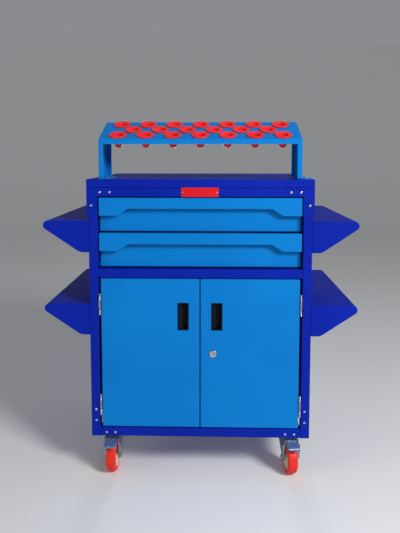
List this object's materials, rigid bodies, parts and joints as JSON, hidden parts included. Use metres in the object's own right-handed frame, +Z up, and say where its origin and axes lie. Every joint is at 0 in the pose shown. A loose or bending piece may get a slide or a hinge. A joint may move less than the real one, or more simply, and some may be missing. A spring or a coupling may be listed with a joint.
{
  "type": "tool holder trolley",
  "caption": "Blue steel trolley cabinet with drawers, doors, side shelves, a sloping rack of red tool sockets and swivel castors.",
  "frame": {"origin": "on the floor at the centre of the footprint", "axes": "+Z up, the doors and drawers face -Y, +X to the right when facing the doors"},
  "size_m": [0.974, 0.57, 1.1342],
  "materials": {
    "dark_blue_paint": "satin powder coat, fine orange peel",
    "light_blue_paint": "satin powder coat, fine orange peel",
    "red_plastic": "moulded, semi-gloss",
    "red_enamel": "gloss enamel on thin sheet",
    "black_plastic": "moulded, fine grain",
    "red_tread": "smooth polyurethane",
    "cream_plastic": "moulded nylon",
    "zinc_plate": "blue-white zinc plate",
    "bright_steel": "nickel plate"
  },
  "bodies": {
    "cabinet": {"top_cover": "dark_blue_paint", "top_rail": "dark_blue_paint", "middle_rail": "dark_blue_paint", "bottom_rail": "dark_blue_paint", "front_posts": "dark_blue_paint", "rear_posts": "dark_blue_paint", "left_side_panel": "dark_blue_paint", "right_side_panel": "dark_blue_paint", "back_panel": "dark_blue_paint", "base_pan": "dark_blue_paint", "cupboard_floor": "dark_blue_paint", "drawer_deck": "dark_blue_paint", "upper_left_shelf": "dark_blue_paint", "lower_left_shelf": "dark_blue_paint", "upper_right_shelf": "dark_blue_paint", "lower_right_shelf": "dark_blue_paint", "tool_rack": "light_blue_paint", "corner_sockets": "red_plastic", "tool_sockets": "red_plastic", "blank_plate": "red_enamel", "frame_screws": "bright_steel", "slide_outer_rails": "zinc_plate", "frame_hinge_leaves": "zinc_plate", "castor_plates": "zinc_plate", "door_catch": "black_plastic"},
    "upper_drawer": {"upper_drawer_box": "light_blue_paint", "upper_drawer_front": "light_blue_paint", "upper_slide_inners": "zinc_plate"},
    "upper_slide": {"upper_slide_middles": "zinc_plate"},
    "lower_drawer": {"lower_drawer_box": "light_blue_paint", "lower_drawer_front": "light_blue_paint", "lower_slide_inners": "zinc_plate"},
    "lower_slide": {"lower_slide_middles": "zinc_plate"},
    "left_door": {"left_door": "light_blue_paint", "left_door_pull": "black_plastic", "left_door_hinges": "zinc_plate"},
    "right_door": {"right_door": "light_blue_paint", "right_door_pull": "black_plastic", "right_door_hinges": "zinc_plate", "lock_body": "bright_steel"},
    "lock": {"lock_barrel": "bright_steel", "lock_cam": "bright_steel"},
    "front_left_castor": {"front_left_fork": "zinc_plate", "front_left_axle": "zinc_plate"},
    "front_left_wheel": {"front_left_hub": "cream_plastic", "front_left_tyre": "red_tread"},
    "front_left_brake": {"front_left_pedal": "zinc_plate"},
    "front_right_castor": {"front_right_fork": "zinc_plate", "front_right_axle": "zinc_plate"},
    "front_right_wheel": {"front_right_hub": "cream_plastic", "front_right_tyre": "red_tread"},
    "front_right_brake": {"front_right_pedal": "zinc_plate"},
    "rear_left_castor": {"rear_left_fork": "zinc_plate", "rear_left_axle": "zinc_plate"},
    "rear_left_wheel": {"rear_left_hub": "cream_plastic", "rear_left_tyre": "red_tread"},
    "rear_right_castor": {"rear_right_fork": "zinc_plate", "rear_right_axle": "zinc_plate"},
    "rear_right_wheel": {"rear_right_hub": "cream_plastic", "rear_right_tyre": "red_tread"}
  },
  "joints": [
    {"name": "upper_drawer_slide", "type": "slide", "parent": "cabinet", "child": "upper_drawer", "axis": [0, -1, 0], "range_m": [0, 0.45]},
    {"name": "upper_middle_slide", "type": "slide", "parent": "cabinet", "child": "upper_slide", "axis": [0, -1, 0], "range_m": [0, 0.225]},
    {"name": "lower_drawer_slide", "type": "slide", "parent": "cabinet", "child": "lower_drawer", "axis": [0, -1, 0], "range_m": [0, 0.45]},
    {"name": "lower_middle_slide", "type": "slide", "parent": "cabinet", "child": "lower_slide", "axis": [0, -1, 0], "range_m": [0, 0.225]},
    {"name": "left_door_hinge", "type": "hinge", "parent": "cabinet", "child": "left_door", "pos_m": [-0.31325, -0.2645, 0.4], "axis": [0, 0, -1], "range_deg": [0, 165]},
    {"name": "right_door_hinge", "type": "hinge", "parent": "cabinet", "child": "right_door", "pos_m": [0.31325, -0.2645, 0.4], "axis": [0, 0, 1], "range_deg": [0, 165]},
    {"name": "lock_turn", "type": "hinge", "parent": "right_door", "child": "lock", "pos_m": [0.0407, -0.263, 0.403], "axis": [0, 1, 0], "range_deg": [0, 90]},
    {"name": "front_left_swivel", "type": "hinge", "parent": "cabinet", "child": "front_left_castor", "pos_m": [-0.285, -0.195, 0.115], "axis": [0, 0, 1], "continuous": true},
    {"name": "front_left_roll", "type": "hinge", "parent": "front_left_castor", "child": "front_left_wheel", "pos_m": [-0.285, -0.225, 0.05], "axis": [1, 0, 0], "continuous": true},
    {"name": "front_left_brake_press", "type": "hinge", "parent": "front_left_castor", "child": "front_left_brake", "pos_m": [-0.285, -0.243, 0.11], "axis": [1, 0, 0], "range_deg": [0, 15]},
    {"name": "front_right_swivel", "type": "hinge", "parent": "cabinet", "child": "front_right_castor", "pos_m": [0.285, -0.195, 0.115], "axis": [0, 0, 1], "continuous": true},
    {"name": "front_right_roll", "type": "hinge", "parent": "front_right_castor", "child": "front_right_wheel", "pos_m": [0.28918, -0.22471, 0.05], "axis": [0.9903, 0.1392, 0], "continuous": true},
    {"name": "front_right_brake_press", "type": "hinge", "parent": "front_right_castor", "child": "front_right_brake", "pos_m": [0.29168, -0.24253, 0.11], "axis": [0.9903, 0.1392, 0], "range_deg": [0, 15]},
    {"name": "rear_left_swivel", "type": "hinge", "parent": "cabinet", "child": "rear_left_castor", "pos_m": [-0.285, 0.195, 0.115], "axis": [0, 0, 1], "continuous": true},
    {"name": "rear_left_roll", "type": "hinge", "parent": "rear_left_castor", "child": "rear_left_wheel", "pos_m": [-0.285, 0.165, 0.05], "axis": [1, 0, 0], "continuous": true},
    {"name": "rear_right_swivel", "type": "hinge", "parent": "cabinet", "child": "rear_right_castor", "pos_m": [0.285, 0.195, 0.115], "axis": [0, 0, 1], "continuous": true},
    {"name": "rear_right_roll", "type": "hinge", "parent": "rear_right_castor", "child": "rear_right_wheel", "pos_m": [0.285, 0.165, 0.05], "axis": [1, 0, 0], "continuous": true}
  ],
  "couplings": [
    {"joint": "upper_middle_slide", "follows": "upper_drawer_slide", "ratio": 0.5},
    {"joint": "lower_middle_slide", "follows": "lower_drawer_slide", "ratio": 0.5}
  ]
}
